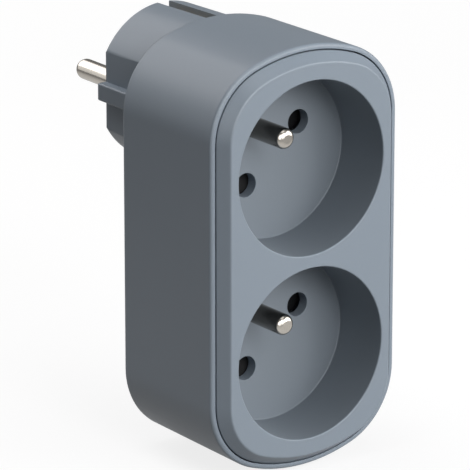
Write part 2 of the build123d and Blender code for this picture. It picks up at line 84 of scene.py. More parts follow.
Point = tuple[float, float]
Corners = list[bmesh.types.BMVert]
log = logging.getLogger("socket_adapter")


# Finishes


def linear(hex_colour: str) -> tuple[float, float, float, float]:
    """Turns an sRGB hex colour into the linear one that Blender's sockets take.

    Args:
        hex_colour: the colour as "#rrggbb".

    Returns:
        Red, green, blue and an alpha of 1.
    """
    parts = [int(hex_colour[i : i + 2], 16) / 255 for i in (1, 3, 5)]
    r, g, b = (c / 12.92 if c <= 0.04045 else ((c + 0.055) / 1.055) ** 2.4 for c in parts)
    return (r, g, b, 1.0)


def add_node(tree: bpy.types.NodeTree, kind: str, **settings: Any) -> bpy.types.Node:
    """Adds a shader node with its settings and links.

    Args:
        tree: the node tree that takes it.
        kind: the node's type name.
        settings: a socket's value, or the output socket that feeds it, by the socket's name with
            underscores for spaces, or else an attribute of the node. Inputs given as in0, in1 and
            so on are sockets by number.

    Returns:
        The new node.
    """
    node = tree.nodes.new(kind)
    attributes = {k: v for k, v in settings.items() if hasattr(node, k)}
    for key, value in attributes.items():
        setattr(node, key, value)
    for key, value in settings.items():
        if key in attributes:
            continue
        numbered = key.startswith("in") and key[2:].isdigit()
        socket = node.inputs[int(key[2:])] if numbered else node.inputs[key.replace("_", " ")]
        if isinstance(value, bpy.types.NodeSocket):
            tree.links.new(value, socket)
        else:
            socket.default_value = value
    return node


def calculate(tree: bpy.types.NodeTree, operation: str, *values: Any) -> bpy.types.NodeSocket:
    """Adds a maths node.

    Args:
        tree: the node tree that takes it.
        operation: what it works out.
        values: its numbers, or the output sockets that feed it.

    Returns:
        The socket of the result.
    """
    inputs = {f"in{i}": value for i, value in enumerate(values)}
    return add_node(tree, "ShaderNodeMath", operation=operation, **inputs).outputs[0]


class Grain(Enum):
    """How a finish's fine pattern lies on the surface, as its scale along X, Y and Z."""

    # The even speckle of a spark-eroded mould.
    ERODED = (1.0, 1.0, 1.0)
    # Long streaks along the part, from drawing or stamping.
    DRAWN = (1.0, 0.06, 1.0)


@dataclass(frozen=True)
class Finish:
    """A surface finish: two close tones mixed by a fine grain, with the grain's relief."""

    name: str
    tone: str
    second_tone: str
    roughness: float
    roughness_swing: float
    grain: Grain
    grain_mm: float
    relief_mm: float
    metallic: float = 0.0
    specular: float = 0.5
    mottle_mm: float = 22.0
    grain_share: float = 0.6

    def material(self) -> bpy.types.Material:
        """Builds the Blender material: the grain and a broad faint mottle mix the two tones.

        Returns:
            The material, named for the finish.
        """
        made = bpy.data.materials.new(self.name)
        made.use_nodes = True
        tree = made.node_tree
        tree.nodes.clear()
        place = add_node(tree, "ShaderNodeTexCoord").outputs["Object"]
        place = add_node(tree, "ShaderNodeMapping", Vector=place,
                         Scale=self.grain.value).outputs["Vector"]
        fine = add_node(tree, "ShaderNodeTexNoise", Vector=place, Scale=1 / (self.grain_mm * MM),
                        Detail=3.0, Roughness=0.6).outputs[0]
        broad = add_node(tree, "ShaderNodeTexNoise", Vector=place, Scale=1 / (self.mottle_mm * MM),
                         Detail=2.0).outputs[0]
        blend = calculate(tree, "MULTIPLY", fine, self.grain_share)
        blend = calculate(tree, "MULTIPLY_ADD", broad, 1 - self.grain_share, blend)
        # The Mix node's colours are its sockets 6 and 7, and the mixed colour is its output 2.
        colour = add_node(tree, "ShaderNodeMix", data_type="RGBA", in0=blend,
                          in6=linear(self.tone), in7=linear(self.second_tone)).outputs[2]
        rough = add_node(tree, "ShaderNodeMapRange", Value=fine, From_Min=0.3, From_Max=0.7,
                         To_Min=self.roughness - self.roughness_swing,
                         To_Max=self.roughness + self.roughness_swing).outputs[0]
        bump = add_node(tree, "ShaderNodeBump", Strength=1.0, Distance=self.relief_mm * MM,
                        Height=fine).outputs[0]
        shader = add_node(tree, "ShaderNodeBsdfPrincipled", Base_Color=colour, Roughness=rough,
                          Metallic=self.metallic, Normal=bump)
        if self.metallic == 0:
            shader.inputs["Specular IOR Level"].default_value = self.specular
        add_node(tree, "ShaderNodeOutputMaterial", Surface=shader.outputs[0])
        return made


# The streaks and specks of the real metal are some hundredths of a millimetre wide. They are drawn
# at 0.2 mm or more, because finer ones don't show in a picture of the whole adapter.

# Blue-grey ABS, injection moulded in a spark-eroded mould: satin, with an even speckle too fine to
# see, drawn a little coarser than it is so that it just breaks the highlights.
HOUSING_ABS = Finish(
    "spark_eroded_blue_grey_abs", tone="#848f9a", second_tone="#8a949f", roughness=0.38,
    roughness_swing=0.03, grain=Grain.ERODED, grain_mm=0.32, relief_mm=0.006)
# The same ABS in the wells, where the mould's cores were blasted finer: duller.
# Its two tones are darker than the housing's: painted shade, for the shade inside the deep wells.
WELL_ABS = Finish(
    "blasted_blue_grey_abs", tone="#788189", second_tone="#7e868f", roughness=0.46,
    roughness_swing=0.03, grain=Grain.ERODED, grain_mm=0.25, relief_mm=0.004)
# Black glass-filled polyamide, moulded: dull and slightly mottled by its fibres.
SHUTTER_NYLON = Finish(
    "moulded_black_polyamide", tone="#0d0e10", second_tone="#131417", roughness=0.6,
    roughness_swing=0.06, grain=Grain.ERODED, grain_mm=0.5, relief_mm=0.01, specular=0.25)
# Grey polyamide of the inner cups, moulded in a plain mould: dull, with a faint even mottle.
CUP_NYLON = Finish(
    "moulded_grey_polyamide", tone="#4c5157", second_tone="#565c63", roughness=0.48,
    roughness_swing=0.05, grain=Grain.ERODED, grain_mm=0.5, relief_mm=0.01)
# Nickel-plated brass pins, turned from drawn rod and barrel polished: warm white metal with faint
# streaks along it.
PIN_NICKEL = Finish(
    "polished_nickel_plate", tone="#d8d3cb", second_tone="#cdc6bb", roughness=0.22,
    roughness_swing=0.03, grain=Grain.DRAWN, grain_mm=0.2, relief_mm=0.0008, metallic=1.0)
# The same plating on the earth pins' sides, drawn darker: painted shade for the dark well that they
# mirror.
SHADE_PAINTED_NICKEL = Finish(
    "tarnished_nickel_plate", tone="#8d8983", second_tone="#7f7a73", roughness=0.2,
    roughness_swing=0.04, grain=Grain.DRAWN, grain_mm=0.2, relief_mm=0.0008, metallic=1.0)
# Stamped half-hard brass strip: yellow, with the long streaks of rolling.
STRIP_BRASS = Finish(
    "rolled_brass_strip", tone="#d8b26a", second_tone="#c79c52", roughness=0.3,
    roughness_swing=0.06, grain=Grain.DRAWN, grain_mm=0.25, relief_mm=0.002, metallic=1.0)
# Zinc-plated screws: pale metal, slightly milky.
ZINC_STEEL = Finish(
    "zinc_plated_steel", tone="#bfc1c4", second_tone="#aaadb1", roughness=0.34,
    roughness_swing=0.06, grain=Grain.ERODED, grain_mm=0.3, relief_mm=0.002, metallic=1.0)
# Music wire of the shutter springs, drawn and oil tempered: grey steel with a soft shine along it.
SPRING_WIRE = Finish(
    "drawn_spring_wire", tone="#9b9da0", second_tone="#85878a", roughness=0.3,
    roughness_swing=0.05, grain=Grain.DRAWN, grain_mm=0.2, relief_mm=0.001, metallic=1.0)


# Outlines that are lofted, and the profiles that they are lofted along


@dataclass(frozen=True)
class Corner:
    """A corner of a profile: how far inside the outline, how deep, and how much it is rounded."""

    inset: float
    depth: float
    radius: float = 0.0


def rounded(corners: list[Corner], steps: int = 5, margin: float = 0.14) -> list[Point]:
    """Rounds a profile's corners.

    Args:
        corners: the profile's corners in order.
        steps: flat steps in each rounding.
        margin: how far beyond a rounding a further point stands, so that the flats beside it keep
            their own shading.

    Returns:
        The (inset, depth) points of the profile.
    """
    points: list[Point] = []
    for i, corner in enumerate(corners):
        here = Vector((corner.inset, corner.depth))
        if corner.radius == 0:
            points.append(tuple(here))
            continue
        to_last = (Vector((corners[i - 1].inset, corners[i - 1].depth)) - here).normalized()
        to_next = (Vector((corners[i + 1].inset, corners[i + 1].depth)) - here).normalized()
        half = to_last.angle(to_next) / 2
        run = corner.radius / math.tan(half)
        centre = here + (to_last + to_next).normalized() * corner.radius / math.sin(half)
        start = here + to_last * run - centre
        turn = start.angle_signed(here + to_next * run - centre)
        points.append(tuple(here + to_last * (run + margin)))
        for step in range(steps + 1):
            spoke = Matrix.Rotation(-turn * step / steps, 2) @ start
            points.append(tuple(centre + spoke))
        points.append(tuple(here + to_next * (run + margin)))
    return [(round(inset, 5), round(depth, 5)) for inset, depth in points]


class Pen:
    """Draws one closed outline at a depth: straights are extruded and arcs are spun."""

    def __init__(self, bm: bmesh.types.BMesh, depth: float, x: float, z: float) -> None:
        """Starts the outline.

        Args:
            bm: the mesh that takes it.
            depth: its depth.
            x: where it starts.
            z: where it starts.
        """
        self.bm = bm
        self.y = FRONT_Y + depth
        self.first = self.last = bm.verts.new((x, self.y, z))

    def line(self, x: float, z: float) -> None:
        """Draws a straight to x, z."""
        self.last = bmesh.ops.extrude_vert_indiv(self.bm, verts=[self.last])["verts"][0]
        self.last.co = Vector((x, self.y, z))

    def arc(self, x: float, z: float, degrees: float, steps: int) -> None:
        """Draws an arc, anticlockwise seen from the front.

        Args:
            x: the arc's centre.
            z: the arc's centre.
            degrees: how far it turns.
            steps: how many edges it gets.
        """
        made = bmesh.ops.spin(self.bm, geom=[self.last], cent=(x, self.y, z), axis=(0, -1, 0),
                              angle=math.radians(degrees), steps=steps, use_duplicate=False)
        self.last = next(v for v in made["geom_last"] if isinstance(v, bmesh.types.BMVert))

    def closing_arc(self, x: float, z: float, degrees: float, steps: int) -> Corners:
        """Draws the last arc back to the start.

        Args:
            x: the arc's centre.
            z: the arc's centre.
            degrees: how far it turns.
            steps: how many edges it gets.

        Returns:
            The outline's corners in order.
        """
        self.arc(x, z, degrees * (steps - 1) / steps, steps - 1)
        return self.close()

    def close(self) -> Corners:
        """Joins the last point to the first.

        Returns:
            The outline's corners in order.
        """
        edge, corner = self.bm.edges.new((self.last, self.first)), self.last
        corners = [corner]
        while corner != self.first:
            edge = next(e for e in corner.link_edges if e != edge)
            corner = edge.other_vert(corner)
            corners.append(corner)
        return corners


class Outline:
    """A closed outline that can be drawn at any depth, moved inwards by an inset."""

    def draw(self, bm: bmesh.types.BMesh, inset: float, depth: float) -> Corners:
        """Draws the outline.

        Args:
            bm: the mesh that takes it.
            inset: how far inside the full outline it is drawn.
            depth: its depth.

        Returns:
            The outline's corners in order.
        """
        raise NotImplementedError


@dataclass(frozen=True)
class CrownedOutline(Outline):
    """A tall rounded rectangle whose top and bottom are gentle arcs."""

    width: float = 51.4
    height: float = 97.8
    corner: float = 17.7
    crown: float = 42.0
    corner_steps: int = 18
    crown_steps: int = 16

    def draw(self, bm: bmesh.types.BMesh, inset: float, depth: float) -> Corners:
        """Draws the outline from the foot of its right side, anticlockwise.

        Args:
            bm: the mesh that takes it.
            inset: how far inside the full outline it is drawn.
            depth: its depth.

        Returns:
            The outline's corners in order.
        """
        corner_x = self.width / 2 - self.corner
        crown_z = self.height / 2 - self.crown
        corner_z = crown_z + math.sqrt((self.crown - self.corner) ** 2 - corner_x**2)
        turn = math.degrees(math.atan2(corner_z - crown_z, corner_x))
        half = self.width / 2 - inset
        pen = Pen(bm, depth, half, BODY_Z - corner_z)
        pen.line(half, BODY_Z + corner_z)
        pen.arc(corner_x, BODY_Z + corner_z, turn, self.corner_steps)
        pen.arc(0, BODY_Z + crown_z, 180 - 2 * turn, self.crown_steps)
        pen.arc(-corner_x, BODY_Z + corner_z, turn, self.corner_steps)
        pen.line(-half, BODY_Z - corner_z)
        pen.arc(-corner_x, BODY_Z - corner_z, turn, self.corner_steps)
        pen.arc(0, BODY_Z - crown_z, 180 - 2 * turn, self.crown_steps)
        return pen.closing_arc(corner_x, BODY_Z - corner_z, turn, self.corner_steps)


@dataclass(frozen=True)
class PlugOutline(Outline):
    """The plug's outline: a circle with a groove above and below and two flats with a rib each."""

    radius: float = 18.3
    draft: float = 1.2
    face_depth: float = PLUG_FACE
    flat: float = 16.05
    rib: float = 18.3
    rib_half: float = 2.05
    rib_rounding: float = 0.4
    rib_steps: int = 5
    groove_half: float = 1.6
    groove_floor: float = 14.95
    steps: int = 20

    def draw(self, bm: bmesh.types.BMesh, inset: float, depth: float) -> Corners:
        """Draws the outline from the right rib's foot, anticlockwise, one half like the other.

        Args:
            bm: the mesh that takes it.
            inset: how far inside the full outline it is drawn.
            depth: its depth.

        Returns:
            The outline's corners in order.
        """
        widening = (self.face_depth - depth) * math.tan(math.radians(self.draft))
        radius = self.radius + widening - inset
        flat, rib, rib_half = self.flat - inset, self.rib - inset, self.rib_half - inset
        groove, floor = self.groove_half + inset, self.groove_floor - inset
        flat_z = math.sqrt(radius**2 - flat**2)
        groove_z = math.sqrt(radius**2 - groove**2)
        turn = math.degrees(math.atan2(groove_z, groove) - math.atan2(flat_z, flat))
        round_x, round_z = rib - self.rib_rounding, rib_half - self.rib_rounding
        pen = Pen(bm, depth, rib, -round_z)
        for side in (1, -1):
            pen.line(side * rib, side * round_z)
            pen.arc(side * round_x, side * round_z, 90, self.rib_steps)
            pen.line(side * flat, side * rib_half)
            pen.line(side * flat, side * flat_z)
            pen.arc(0, 0, turn, self.steps)
            pen.line(side * groove, side * floor)
            pen.line(-side * groove, side * floor)
            pen.line(-side * groove, side * groove_z)
            pen.arc(0, 0, turn, self.steps)
            pen.line(-side * flat, side * rib_half)
            pen.line(-side * round_x, side * rib_half)
            if side == 1:
                pen.arc(-round_x, round_z, 90, self.rib_steps)
        return pen.closing_arc(round_x, -round_z, 90, self.rib_steps)


def loft(bm: bmesh.types.BMesh, outline: Outline, profile: list[Point]) -> None:
    """Builds a closed solid from an outline that is drawn at each point of a profile.

    Args:
        bm: the mesh that takes it.
        outline: the outline.
        profile: (inset, depth) points in order, from one flat end to the other.
    """
    first = last = outline.draw(bm, *profile[0])
    for inset, depth in profile[1:]:
        edges = [bm.edges.get(pair) for pair in zip(last, last[1:] + last[:1])]
        made = set(bmesh.ops.extrude_edge_only(bm, edges=edges)["geom"])
        last = [next(edge.other_vert(corner) for edge in corner.link_edges
                     if edge.other_vert(corner) in made) for corner in last]
        guide = bmesh.new()
        for corner, place in zip(last, outline.draw(guide, inset, depth)):
            corner.co = place.co
        guide.free()
    for end in (first, last):
        bm.faces.new(end)


def cut_across(bm: bmesh.types.BMesh) -> None:
    """Cuts the faces along the lines through the holes' centres, so that no face has a hole.

    Args:
        bm: the mesh that is cut.
    """
    heights = {z for _, z in SCREWS} | set(SOCKETS)
    for spot, way in [((0, 0, 0), (1, 0, 0))] + [((0, 0, z), (0, 0, 1)) for z in heights]:
        bmesh.ops.bisect_plane(bm, geom=[*bm.verts, *bm.edges, *bm.faces], dist=1e-3,
                               plane_co=spot, plane_no=way)


def turned(name: str, x: float, z: float, profile: list[Point],
           steps: int = 96) -> bpy.types.Object:
    """Builds a solid of revolution about an axis along Y.

    Args:
        name: the object's name.
        x: where the axis stands.
        z: where the axis stands.
        profile: (radius, depth) points in order, from the axis back to the axis.
        steps: how many faces go round.

    Returns:
        The object.
    """
    bm = bmesh.new()
    points = [bm.verts.new((x + radius, FRONT_Y + depth, z)) for radius, depth in profile]
    edges = [bm.edges.new(pair) for pair in zip(points, points[1:])]
    bmesh.ops.spin(bm, geom=points + edges, cent=(x, 0, z), axis=(0, 1, 0), angle=2 * math.pi,
                   steps=steps, use_merge=True, use_duplicate=False)
    bmesh.ops.remove_doubles(bm, verts=bm.verts, dist=1e-4)
    return finished(bm, name)


def rods(places: list[Point], radius: float, near: float, far: float,
         steps: int = 64) -> bpy.types.Object:
    """Builds round rods between two depths.

    Args:
        places: the rods' axes as x, z.
        radius: their radius.
        near: the depth of their front ends.
        far: the depth of their back ends.
        steps: how many faces go round.

    Returns:
        One object with all the rods.
    """
    bm = bmesh.new()
    along = Matrix.Rotation(math.pi / 2, 4, "X")
    for x, z in places:
        middle = Matrix.Translation((x, FRONT_Y + (near + far) / 2, z))
        bmesh.ops.create_cone(bm, cap_ends=True, segments=steps, radius1=radius, radius2=radius,
                              depth=far - near, matrix=middle @ along)
    return finished(bm, "rods")


def block(x: float, depth: float, z: float, size: tuple[float, float, float]) -> bpy.types.Object:
    """Builds a block.

    Args:
        x: its middle.
        depth: its middle.
        z: its middle.
        size: its width, its thickness along the depth and its height.

    Returns:
        The object.
    """
    bm = bmesh.new()
    middle = Matrix.Translation((x, FRONT_Y + depth, z))
    bmesh.ops.create_cube(bm, size=1, matrix=middle @ Matrix.Diagonal((*size, 1)))
    return finished(bm, "block")


def finished(bm: bmesh.types.BMesh, name: str) -> bpy.types.Object:
    """Turns a mesh in millimetres into an object in metres at the origin, faces outwards.

    Args:
        bm: the mesh, which is freed.
        name: the object's name.

    Returns:
        The object, linked to the scene.
    """
    bmesh.ops.recalc_face_normals(bm, faces=bm.faces)
    bmesh.ops.scale(bm, vec=(MM, MM, MM), verts=bm.verts)
    mesh = bpy.data.meshes.new(name)
    bm.to_mesh(mesh)
    bm.free()
    made = bpy.data.objects.new(name, mesh)
    bpy.context.scene.collection.objects.link(made)
    return made


def smooth(piece: bpy.types.Object, degrees: float = 32.0) -> None:
    """Shades a piece smooth, with sharp edges.

    Args:
        piece: the piece.
        degrees: an edge is sharp where its faces meet at more than this.
    """
    mesh = piece.data
    mesh.polygons.foreach_set("use_smooth", [True] * len(mesh.polygons))
    mesh.set_sharp_from_angle(angle=math.radians(degrees))
    weighted = piece.modifiers.new("flat_faces_stay_flat", "WEIGHTED_NORMAL")
    weighted.keep_sharp = True


class Change(Enum):
    """What one solid does to another, as Blender's Boolean calls it."""

    JOIN = "UNION"
    CUT = "DIFFERENCE"


def combine(piece: bpy.types.Object, tool: bpy.types.Object, change: Change) -> None:
    """Joins a tool to a piece, or cuts it out, and deletes the tool.

    Args:
        piece: the piece that changes.
        tool: the other solid.
        change: whether the tool is joined or cut out.
    """
    boolean = piece.modifiers.new("combine", "BOOLEAN")
    boolean.object = tool
    boolean.operation = change.value
    boolean.solver = "MANIFOLD"
    evaluated = piece.evaluated_get(bpy.context.evaluated_depsgraph_get())
    mesh = bpy.data.meshes.new_from_object(evaluated)
    piece.modifiers.clear()
    piece.data = mesh
    bpy.data.objects.remove(tool)


def dress(piece: bpy.types.Object, material: bpy.types.Material, slot: str, *nodes: str) -> None:
    """Gives a piece its material and its place in the frame.

    Args:
        piece: the new piece.
        material: its finish.
        slot: not used.
        nodes: the CAD nodes that it stands for.
    """
    piece.data.materials.clear()
    piece.data.materials.append(material)
    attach(piece, "adapter")
    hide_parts(*nodes)
    log.info("%s: %d faces", piece.name, len(piece.data.polygons))


# Sub-assemblies


def around(radius: float, degrees: float, z: float) -> Point:
    """Finds a point on a circle about a socket's axis at height z."""
    turn = math.radians(degrees)
    return (radius * math.cos(turn), z + radius * math.sin(turn))


@dataclass
class FrontCover:
    """The bevelled front with its two socket wells."""

    seam_inset: float = 1.54
    bevel_width: float = 2.01
    bevel_depth: float = 2.7
    bevel_rounding: float = 0.6
    flat_margin: float = 1.05
    shoulder_rounding: float = 0.2
    skirt_rounding: float = 0.15
    thickness: float = 2.2
    skirt_wall: float = 1.6
    skirt_end: float = 6.3
    well_radius: float = 20.0
    floor_radius: float = 19.57
    well_wall: float = 1.6
    mouth_rounding: float = 0.3
    floor_depth: float = 14.6
    floor_back: float = 17.3
    floor_rounding: float = 0.25
    hole_radius: float = 2.8
    hole_pitch: float = 19.0
    hole_turn: float = 40.0
    hole_rounding: float = 0.12
    earth_hole_radius: float = 2.45
    earth_offset: float = 10.0
    peg_circle: float = 15.9
    peg_radius: float = 1.1
    peg_end: float = 23.4
    boss_radius: float = 3.0
    boss_end: float = 24.8
    pilot_radius: float = 1.49
    pilot_start: float = 12.0

    def well(self, z: float) -> bpy.types.Object:
        """Builds the space of one well, flared at the mouth, with its three holes.

        Args:
            z: the height of the socket's axis.

        Returns:
            The solid to cut out of the cover.
        """
        flare = self.well_radius + PAST
        space = turned("well", 0, z, rounded([
            Corner(0, -PAST), Corner(flare, -PAST), Corner(flare, -HAIR),
            Corner(self.well_radius, -HAIR, self.mouth_rounding),
            Corner(self.floor_radius, self.floor_depth, self.floor_rounding),
            Corner(0, self.floor_depth)], margin=0))
        flare = self.hole_radius + PAST
        start, mouth, end = self.floor_depth - PAST, self.floor_depth - HAIR, self.floor_back + PAST
        hole = rounded([
            Corner(0, start), Corner(flare, start), Corner(flare, mouth),
            Corner(self.hole_radius, mouth, self.hole_rounding),
            Corner(self.hole_radius, end), Corner(0, end)], steps=3, margin=0)
        for side in (1, -1):
            x, height = around(side * self.hole_pitch / 2, self.hole_turn, z)
            combine(space, turned("line_hole", x, height, hole, steps=48), Change.JOIN)
        earth = [around(self.earth_offset, self.hole_turn + 90, z)]
        combine(space, rods(earth, self.earth_hole_radius, start, end), Change.JOIN)
        return space

    def build(self) -> bpy.types.Object:
        """Builds the cover: plate and skirt, well tubes, screw bosses and pegs, less the wells.

        Returns:
            The cover.
        """
        bm = bmesh.new()
        flat_edge = self.seam_inset + self.bevel_width
        inner = self.seam_inset + self.skirt_wall
        loft(bm, CrownedOutline(), rounded([
            Corner(flat_edge + self.flat_margin, 0), Corner(flat_edge, 0, self.bevel_rounding),
            Corner(self.seam_inset, self.bevel_depth, self.shoulder_rounding),
            Corner(self.seam_inset, self.skirt_end, self.skirt_rounding),
            Corner(inner, self.skirt_end), Corner(inner, self.thickness)]))
        cut_across(bm)
        cover = finished(bm, "front_cover_shell")
        root = self.thickness / 2
        narrowing = (self.well_radius - self.floor_radius) / self.floor_depth
        outside = [self.well_radius + self.well_wall - narrowing * depth
                   for depth in (root, self.floor_back)]
        tube = [(0, root), (outside[0], root), (outside[1], self.floor_back), (0, self.floor_back)]
        for z in SOCKETS:
            combine(cover, turned("well_tube", 0, z, tube), Change.JOIN)
            pegs = [around(side * self.peg_circle, self.hole_turn + 90, z) for side in (1, -1)]
            combine(cover, rods(pegs, self.peg_radius, self.floor_back - PAST, self.peg_end),
                    Change.JOIN)
        combine(cover, rods(SCREWS, self.boss_radius, root, self.boss_end), Change.JOIN)
        for z in SOCKETS:
            combine(cover, self.well(z), Change.CUT)
        pilots = rods(SCREWS, self.pilot_radius, self.pilot_start, self.boss_end + PAST)
        combine(cover, pilots, Change.CUT)
        smooth(cover)
        return cover

    def in_well(self, spot: Vector, tolerance: float = 0.01) -> bool:
        """Tells whether a place on the cover lies on the surface of a well.

        Args:
            spot: the place, in metres.
            tolerance: how far behind a well's floor still counts as the floor.

        Returns:
            True for a well's wall and floor, but not for the rounding of its mouth.
        """
        depth = spot.y / MM - FRONT_Y
        reach = min(math.hypot(spot.x / MM, spot.z / MM - z) for z in SOCKETS)
        in_depth = self.mouth_rounding < depth < self.floor_depth + tolerance
        return in_depth and reach < self.well_radius

    def dress(self, cover: bpy.types.Object, plastic: bpy.types.Material,
              blasted: bpy.types.Material) -> None:
        """Dresses the cover in the housing's plastic, with a duller finish in the wells whose
        darker tone is painted shade.

        Args:
            cover: the cover.
            plastic: its finish.
            blasted: the wells' finish, duller, and darker by painted shade.
        """
        dress(cover, plastic, "body_plastic", "front_cover")
        # The wells' finish is drawn darker: painted shade for the recesses.
        cover.data.materials.append(blasted)
        for face in cover.data.polygons:
            face.material_index = int(self.in_well(face.center))


@dataclass
class RearHousing:
    """The deep tub with the plug on its back.

    The lip stands around the cover, and the ledge inside it stops the cover's skirt. The draft's
    loss is how much the tub narrows towards its back. The windows let the legs of the earth strap
    through to the plug's grooves. The cutters are the blocks that flatten the plug's hollow.
    """

    lip: float = 1.23
    ledge: float = 0.9
    lip_depth: float = 2.7
    ledge_depth: float = 6.3
    lip_rounding: float = 0.75
    lip_edge_rounding: float = 0.08
    back_depth: float = 36.2
    back_rounding: float = 0.8
    back_margin: float = 2.5
    draft_loss: float = 0.29
    back_wall: float = 2.0
    face_depth: float = PLUG_FACE
    face_rounding: float = 0.35
    face_margin: float = 0.3
    face_wall: float = 3.0
    hollow_radius: float = 16.3
    hollow_half: float = 14.05
    groove_wall: float = 13.45
    groove_wall_width: float = 6.2
    cutter_thin: float = 10.0
    cutter_long: float = 40.0
    cutter_shift: float = 8.0
    window_z: float = 15.45
    window: tuple[float, float, float] = (3.2, 4.4, 1.0)
    pin_x: float = 9.5
    pin_bore_radius: float = 2.45
    boss_radius: float = 4.7
    boss_end: float = 37.0
    earth_z: float = 10.0
    earth_hole_radius: float = 2.75
    earth_bore_radius: float = 3.3
    tower_radius: float = 4.3
    tower_end: float = 25.0
    screw_seat: float = 27.0
    screw_bore_radius: float = 3.2
    shank_bore_radius: float = 1.65

    def tub(self) -> bpy.types.Object:
        """Builds the tub.

        Returns:
            The tub as one closed shell.
        """
        bm = bmesh.new()
        inner = self.lip + self.ledge
        loft(bm, CrownedOutline(), rounded([
            Corner(self.draft_loss + self.back_margin, self.back_depth),
            Corner(self.draft_loss, self.back_depth, self.back_rounding),
            Corner(0, self.lip_depth, self.lip_rounding),
            Corner(self.lip, self.lip_depth, self.lip_edge_rounding),
            Corner(self.lip, self.ledge_depth), Corner(inner, self.ledge_depth),
            Corner(inner + self.draft_loss, self.back_depth - self.back_wall)]))
        cut_across(bm)
        return finished(bm, "rear_housing_shell")

    def plug(self) -> bpy.types.Object:
        """Builds the plug's outside.

        Returns:
            A closed solid that starts within the tub's back wall.
        """
        bm = bmesh.new()
        loft(bm, PlugOutline(), rounded([
            Corner(0, self.back_depth - self.back_wall / 2),
            Corner(0, self.face_depth, self.face_rounding),
            Corner(self.face_rounding + self.face_margin, self.face_depth)], steps=4, margin=0.08))
        return finished(bm, "plug_outside")

    def hollow(self) -> bpy.types.Object:
        """Builds the space inside the plug, flat at the sides and clear of the two grooves.

        Returns:
            The solid to cut out of the housing.
        """
        thin, long = self.cutter_thin, self.cutter_long
        middle = self.back_depth + self.cutter_shift
        space = rods([(0, 0)], self.hollow_radius, self.back_depth - self.back_wall - PAST / 2,
                     self.face_depth - self.face_wall)
        for side in (-1, 1):
            flat = block(side * (self.hollow_half + thin / 2), middle, 0, (thin, long, long))
            combine(space, flat, Change.CUT)
            groove = block(0, middle, side * (self.groove_wall + thin / 2),
                           (self.groove_wall_width, long, thin))
            combine(space, groove, Change.CUT)
        return space

    def build(self) -> bpy.types.Object:
        """Builds the housing: tub and plug, hollowed, with bosses, screw towers and bores.

        Returns:
            The housing.
        """
        housing = self.tub()
        combine(housing, self.plug(), Change.JOIN)
        combine(housing, self.hollow(), Change.CUT)
        inner_face = self.face_depth - self.face_wall
        pins = [(-self.pin_x, 0.0), (self.pin_x, 0.0)]
        earth = [(0.0, self.earth_z)]
        combine(housing, rods(pins + earth, self.boss_radius, self.boss_end,
                              inner_face + PAST / 2), Change.JOIN)
        combine(housing, rods(SCREWS, self.tower_radius, self.tower_end,
                              self.back_depth - self.back_wall / 2), Change.JOIN)
        outside = self.face_depth + PAST
        for places, radius, near, far in (
            (pins, self.pin_bore_radius, self.boss_end - PAST, outside),
            (earth, self.earth_bore_radius, self.boss_end - PAST, inner_face),
            (earth, self.earth_hole_radius, inner_face - PAST, outside),
            (SCREWS, self.screw_bore_radius, self.screw_seat, self.back_depth + PAST),
            (SCREWS, self.shank_bore_radius, self.tower_end - PAST, self.screw_seat + PAST),
        ):
            combine(housing, rods(places, radius, near, far), Change.CUT)
        for side in (-1, 1):
            window = block(0, self.back_depth - self.back_wall / 2, side * self.window_z,
                           self.window)
            combine(housing, window, Change.CUT)
        smooth(housing)
        return housing

    def dress(self, housing: bpy.types.Object, plastic: bpy.types.Material) -> None:
        """Dresses the housing in its plastic."""
        dress(housing, plastic, "body_plastic", "rear_housing")


@dataclass
class TurnedPin:
    """A round-ended pin of the plug, turned in one piece with a groove, a collar and a rivet tail.

    Its tip, face, collar and tail are depths: the face is where it leaves the plastic.
    """

    name: str
    x: float
    z: float
    tip: float = 74.9
    face: float = PLUG_FACE
    collar_front: float = 37.0
    collar_radius: float = 3.5
    tail_depth: float = 35.2
    tip_rounding: float = 2.1
    tip_share: float = 0.6
    radius: float = 2.4
    groove_radius: float = 2.2
    groove_width: float = 0.8
    collar_height: float = 1.0
    tail_radius: float = 1.5
    head_radius: float = 2.2
    head_height: float = 0.6

    def build(self) -> bpy.types.Object:
        """Builds the pin by spinning its profile about its axis.

        Returns:
            The pin.
        """
        way = 1 if self.tip > self.face else -1
        groove = self.face - way * self.groove_width
        collar_back = self.collar_front - way * self.collar_height
        head = self.tail_depth - way * self.head_height
        corners = [
            Corner(0, self.tip), Corner(self.radius, self.tip, self.tip_rounding),
            Corner(self.radius, self.face), Corner(self.groove_radius, self.face),
            Corner(self.groove_radius, groove), Corner(self.radius, groove),
            Corner(self.radius, self.collar_front), Corner(self.collar_radius, self.collar_front),
            Corner(self.collar_radius, collar_back), Corner(self.tail_radius, collar_back),
            Corner(self.tail_radius, self.tail_depth), Corner(self.head_radius, self.tail_depth),
            Corner(self.head_radius, head), Corner(0, head)]
        profile = rounded(corners, steps=14)
        pin = turned(self.name + "_turned", self.x, self.z, profile, steps=64)
        smooth(pin, degrees=40)
        return pin

    def dress(self, pin: bpy.types.Object, tip: bpy.types.Material,
              side: bpy.types.Material) -> None:
        """Plates the pin, with one finish on its rounded tip and one on its sides.

        Args:
            pin: the pin.
            tip: the finish of the outer part of its tip's rounding.
            side: the finish of the rest.
        """
        dress(pin, side, "nickel", self.name)
        pin.data.materials.append(tip)
        for face in pin.data.polygons:
            from_tip = abs(face.center.y / MM - FRONT_Y - self.tip)
            face.material_index = int(from_tip < self.tip_share * self.tip_rounding)


@dataclass
class EarthPin(TurnedPin):
    """The pin of a well, shorter, with its tip towards the front."""

    tip: float = 0.5
    face: float = 14.6
    collar_front: float = 23.4
    collar_radius: float = 3.2
    tail_depth: float = 25.0
    tip_rounding: float = 1.5
    collar_height: float = 0.8


